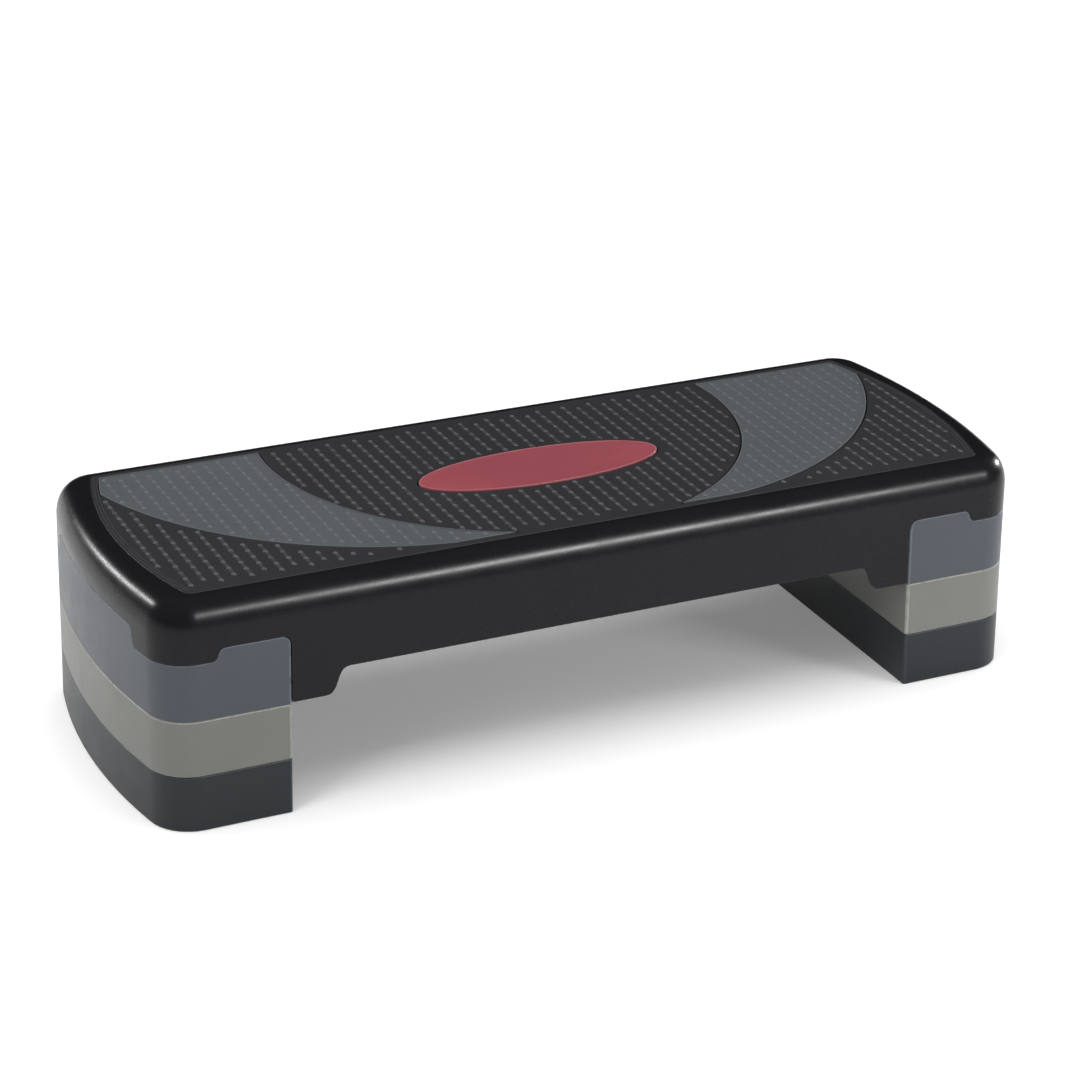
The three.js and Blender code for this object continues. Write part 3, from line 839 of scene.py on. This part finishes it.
def moulded(name, color, roughness, grain=0.12, grain_scale=1100, edge_wear_and_highlight=0.5, cloud=0.045, raised=None,
            specular=0.24):
    """Moulded plastic: fine grain, slow colour drift, faint scuffs, and rounded edges and raised tops painted
    paler, partly as abrasion and partly as painted highlight.
    """
    material, nodes, links, surface = shader(name)
    dark = tuple(c * (1 - cloud) for c in color)
    light = tuple(c * (1 + cloud) for c in color)
    # Paler tone for the rounded edges: partly abrasion, partly a painted highlight where edges catch the
    # light.
    worn_and_highlit_tone = tuple(c * (1 + edge_wear_and_highlight) for c in color)
    slow = band(nodes, links, noise(nodes, links, 7, 4), 0.35, 0.65)
    tone = blend_colors(nodes, links, slow, dark, light)
    speck = band(nodes, links, noise(nodes, links, 160, 4, 0.6), 0.2, 0.55)
    # Rounded edges, broken into specks, are painted in that paler tone: abrasion and painted highlight.
    edges = math_node(nodes, links, "MULTIPLY", lip_mask(nodes, links), speck)
    tone = blend_colors(nodes, links, edges, tone, worn_and_highlit_tone)
    # Raised tops are painted a paler colour in patches: on beads and ridges partly abrasion and partly
    # painted highlight, on the badge's rim painted highlight.
    if raised:
        low, high, abraded_and_highlit_top = raised
        tops = above_height(nodes, links, low, high)
        rub_and_highlight_patches = band(nodes, links, noise(nodes, links, 60, 4, 0.6), 0.2, 0.5)
        tone = blend_colors(nodes, links, math_node(nodes, links, "MULTIPLY", tops, rub_and_highlight_patches), tone, abraded_and_highlit_top)
    links.new(tone, surface.inputs["Base Color"])
    scuffs = noise(nodes, links, 38, 6, 0.65)
    gloss = ramp(nodes, links, scuffs, ((0.3, roughness - 0.03), (0.7, roughness + 0.04)))
    links.new(gloss, surface.inputs["Roughness"])
    surface.inputs["Specular IOR Level"].default_value = specular
    bump = nodes.new("ShaderNodeBump")
    bump.inputs["Strength"].default_value = grain
    bump.inputs["Distance"].default_value = 0.0002
    links.new(noise(nodes, links, grain_scale, 2), bump.inputs["Height"])
    links.new(bump.outputs["Normal"], surface.inputs["Normal"])
    return material


def steel(name):
    material, nodes, links, surface = shader(name)
    shade = ramp(nodes, links, noise(nodes, links, 400, 4), ((0.3, 0.28), (0.7, 0.45)))
    links.new(shade, surface.inputs["Roughness"])
    tone = blend_colors(nodes, links, noise(nodes, links, 150, 3), (0.36, 0.37, 0.39), (0.5, 0.5, 0.52))
    links.new(tone, surface.inputs["Base Color"])
    surface.inputs["Metallic"].default_value = 1.0
    return material


# The edge factor paints rounded edges paler, partly as abrasion and partly as painted highlight.
MATERIALS = {
    "deck_black": moulded("deck_black", (0.0082, 0.0079, 0.0096), 0.27, edge_wear_and_highlight=1.0, specular=0.15),
    "tread_black": moulded("tread_black", (0.0228, 0.0228, 0.0252), 0.5, grain=0.2, grain_scale=1500,
                           edge_wear_and_highlight=0.1,
                           raised=(MAT_TOP_Z + 0.02, MAT_TOP_Z + 0.8, (0.082, 0.082, 0.088))),
    "tread_grey": moulded("tread_grey", (0.071, 0.0775, 0.084), 0.5, grain=0.2, grain_scale=1500, edge_wear_and_highlight=0.5,
                          raised=(CRESCENT_TOP_Z + 0.05, CRESCENT_TOP_Z + 0.85, (0.105, 0.113, 0.12))),
    # The badge's paler pink rim top is a painted highlight. The paler bead tops above are partly abrasion and
    # partly painted highlight.
    "badge_red": moulded("badge_red", (0.25, 0.056, 0.07), 0.36, grain=0.06, cloud=0.08,
                         raised=(BADGE_TOP_Z - 0.14, BADGE_TOP_Z - 0.04, (0.34, 0.14, 0.15))),
    "foot_slate": moulded("foot_slate", (0.06, 0.068, 0.08), 0.4, edge_wear_and_highlight=0.8),
    "riser_khaki": moulded("riser_khaki", (0.153, 0.155, 0.141), 0.4, edge_wear_and_highlight=0.8),
    "riser_charcoal": moulded("riser_charcoal", (0.0165, 0.0195, 0.023), 0.4, edge_wear_and_highlight=1.0),
    "pad_rubber": moulded("pad_rubber", (0.012, 0.012, 0.012), 0.8, grain=0.5, edge_wear_and_highlight=0.2),
    "screw_steel": steel("screw_steel"),
}


# ---- assembly ----
BODY_OF = {node: body for body, nodes in frame["record"]["behaviour"]["bodies"].items() for node in nodes}
SLOT_OF = {part["node"]: part["material_slot"] for part in frame["record"]["subparts"]}


def stand_for(obj, node):
    """The finished piece takes the CAD node's place, body and finish."""
    obj.name = f"{node}_fine"
    obj.data.materials.clear()
    obj.data.materials.append(MATERIALS[SLOT_OF[node]])
    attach(obj, BODY_OF[node])
    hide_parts(node)


def build():
    stand_for(soften(deck_shell("deck")), "deck_shell")
    stand_for(tread_mat("mat"), "tread_mat")
    stand_for(badge("badge"), "badge_oval")
    for side, name in ((-1, "left"), (1, "right")):
        stand_for(tread_crescent("crescent", side), f"tread_crescent_{name}")
    blocks = {"end_foot": soften(end_foot("foot")), "riser_upper": soften(riser("upper", LEVEL)),
              "riser_lower": soften(riser("lower", 0))}
    for kind, obj in blocks.items():
        stand_for(turned(kind, obj), f"{kind}_left")
        stand_for(obj, f"{kind}_right")
    for side, name in ((-1, "left"), (1, "right")):
        for level, base in (("foot", FOOT_BASE), ("upper", LEVEL), ("lower", 0)):
            for i, (x, y) in enumerate(PAD_PLACES, 1):
                stand_for(pad("pad", side * x, side * y, base), f"pad_{level}_{name}_{i}")
        for i, (x, y) in enumerate(SCREW_PLACES, 1):
            stand_for(screw("screw", side * x, side * y), f"foot_screw_{name}_{i}")


# ---- stage ----
SENSOR = 36
FLOOR_HALF = 20000
WHITE = (1, 1, 1, 1)


def camera():
    """Looks at the front and the left end from a little above, with a slight roll."""
    azimuth, elevation, roll = (math.radians(a) for a in (-25.206, 24.192, 0.884))
    distance, focal = 2.646645, 98.307
    target = Vector((0.00155, 0, 0.131335))
    level = math.cos(elevation)
    back = Vector((math.sin(azimuth) * level, -math.cos(azimuth) * level, math.sin(elevation)))
    right = Vector((0, 0, 1)).cross(back).normalized()
    up = back.cross(right)
    tilted_right = right * math.cos(roll) + up * math.sin(roll)
    tilted_up = up * math.cos(roll) - right * math.sin(roll)
    data = bpy.data.cameras.new("camera")
    data.lens = focal
    data.sensor_width = SENSOR
    obj = bpy.data.objects.new("camera", data)
    turn = Matrix((tilted_right, tilted_up, back)).transposed().to_4x4()
    obj.matrix_world = Matrix.Translation(target + back * distance) @ turn
    bpy.context.scene.collection.objects.link(obj)
    bpy.context.scene.camera = obj


def rectangle_light(name, size, power):
    data = bpy.data.lights.new(name, "AREA")
    data.shape = "RECTANGLE"
    data.size, data.size_y = size
    data.energy = power
    return bpy.data.objects.new(name, data)


def area_light(name, place, aim, size, power, glossy=True, diffuse=True):
    obj = rectangle_light(name, size, power)
    obj.location = place
    obj.rotation_euler = (Vector(aim) - Vector(place)).to_track_quat("-Z", "Y").to_euler()
    obj.visible_glossy = glossy
    obj.visible_diffuse = diffuse
    bpy.context.scene.collection.objects.link(obj)


def strip_light(name, start, end, width, aim, power):
    """A long narrow light from start to end that only shows in reflections."""
    start, end, aim = Vector(start), Vector(end), Vector(aim)
    middle = (start + end) / 2
    along = (end - start).normalized()
    away = middle - aim
    away = (away - along * away.dot(along)).normalized()
    obj = rectangle_light(name, ((end - start).length, width), power)
    turn = Matrix((along, away.cross(along), away)).transposed().to_4x4()
    obj.matrix_world = Matrix.Translation(middle) @ turn
    obj.visible_diffuse = False
    bpy.context.scene.collection.objects.link(obj)


def stage():
    pale_floor()
    studio_lights()


def pale_floor():
    far = FLOOR_HALF
    corners = [(-far, -far, 0), (far, -far, 0), (far, far, 0), (-far, far, 0)]
    floor = new_object("floor", corners, [(0, 1, 2, 3)])
    material, nodes, links, surface = shader("floor")
    tone = blend_colors(nodes, links, noise(nodes, links, 3, 2), (0.86, 0.86, 0.86), (0.88, 0.88, 0.88))
    links.new(tone, surface.inputs["Base Color"])
    surface.inputs["Roughness"].default_value = 0.9
    surface.inputs["Specular IOR Level"].default_value = 0.0
    surface.inputs["Emission Color"].default_value = WHITE
    surface.inputs["Emission Strength"].default_value = 0.18
    floor.data.materials.append(material)


def studio_lights():
    """Soft lights without reflections light the surfaces; narrow ones show only as highlights."""
    scene = bpy.context.scene
    world = bpy.data.worlds.new("studio")
    world.use_nodes = True
    background = world.node_tree.nodes["Background"]
    background.inputs["Color"].default_value = WHITE
    background.inputs["Strength"].default_value = 0.2
    world.cycles_visibility.glossy = False
    scene.world = world
    scene.view_settings.view_transform = "Standard"
    area_light("overhead", (0, 0.6, 4.5), (0, 0.6, 0), (7, 7), 345, glossy=False)
    area_light("key", (-2.2, -1.0, 1.6), (0, 0, 0.1), (1.0, 1.0), 21, glossy=False)
    area_light("right_fill", (1.3, -1.5, 0.5), (0.42, -0.15, 0.1), (0.6, 0.6), 16, glossy=False)
    area_light("front_strip", (1.7, -3.6, 2.25), (0, 0, 0.2), (1.5, 0.18), 200, diffuse=False)
    strip_light("left_strip", (-2.5, 1.57, 1.5), (-1.75, 2.64, 0.85), 0.25, (-0.42, -0.05, 0.19), 54)
    area_light("right_strip", (4.0, 0.9, 0.9), (0.4, 0, 0.2), (0.5, 0.4), 90, diffuse=False)


build()
camera()
stage()
